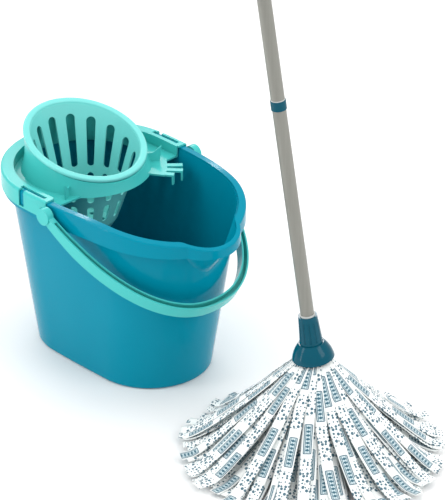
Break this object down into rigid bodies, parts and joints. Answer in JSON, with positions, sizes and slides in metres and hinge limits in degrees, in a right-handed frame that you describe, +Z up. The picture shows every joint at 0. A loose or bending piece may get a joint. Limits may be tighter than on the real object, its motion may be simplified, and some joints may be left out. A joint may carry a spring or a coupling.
{
  "type": "mop and bucket set",
  "caption": "Oval spouted mop bucket with swinging bail and clip-on strainer wringer, beside a strip mop on a sectional screw-in handle.",
  "frame": {"origin": "centre of the bucket's base, on the floor", "axes": "+Z up, +X towards the pouring spout and the mop, +Y to the bucket's left; the bail swings about Y"},
  "size_m": [0.7887, 0.3778, 1.3528],
  "materials": {
    "bucket_plastic": "moulded polypropylene, satin gloss",
    "mint_plastic": "moulded polypropylene, satin gloss",
    "teal_plastic": "moulded polypropylene, glossy",
    "pale_plastic": "moulded, matt",
    "handle_tube": "powder-coated steel tube, satin",
    "strip_fabric": "printed non-woven strips"
  },
  "bodies": {
    "bucket": {"bucket_body": "bucket_plastic"},
    "bail": {"bail_handle": "mint_plastic"},
    "wringer": {"wringer_frame": "mint_plastic", "strainer_basket": "mint_plastic"},
    "mop_head": {"mop_socket": "teal_plastic", "anchor_plug": "teal_plastic", "gather_ring": "teal_plastic", "strip_layer_1": "strip_fabric", "strip_layer_2": "strip_fabric", "strip_layer_3": "strip_fabric", "strip_layer_4": "strip_fabric", "strip_layer_5": "strip_fabric", "strip_layer_6": "strip_fabric"},
    "handle_lower": {"handle_tip": "pale_plastic", "tube_lower": "handle_tube", "joint_sleeve_lower": "teal_plastic"},
    "handle_middle": {"joint_plug_middle": "pale_plastic", "tube_middle": "handle_tube", "joint_sleeve_middle": "teal_plastic"},
    "handle_upper": {"joint_plug_upper": "pale_plastic", "tube_upper": "handle_tube", "hanger_cap": "teal_plastic"}
  },
  "joints": [
    {"name": "bail_swing", "type": "hinge", "parent": "bucket", "child": "bail", "pos_m": [-0.003, 0, 0.2735], "axis": [0, -1, 0], "range_deg": [0, 112]},
    {"name": "wringer_lift", "type": "slide", "parent": "bucket", "child": "wringer", "axis": [0, 0, 1], "range_m": [0, 0.14]},
    {"name": "mop_lift", "type": "slide", "parent": "bucket", "child": "mop_head", "axis": [0.342, 0, 0.9397], "range_m": [0, 0.3]},
    {"name": "handle_release", "type": "slide", "parent": "mop_head", "child": "handle_lower", "axis": [-0.0919, -0.0951, 0.9912], "range_m": [0, 0.06]},
    {"name": "middle_section_pull", "type": "slide", "parent": "handle_lower", "child": "handle_middle", "axis": [-0.0919, -0.0951, 0.9912], "range_m": [0, 0.06]},
    {"name": "upper_section_pull", "type": "slide", "parent": "handle_middle", "child": "handle_upper", "axis": [-0.0919, -0.0951, 0.9912], "range_m": [0, 0.06]}
  ]
}
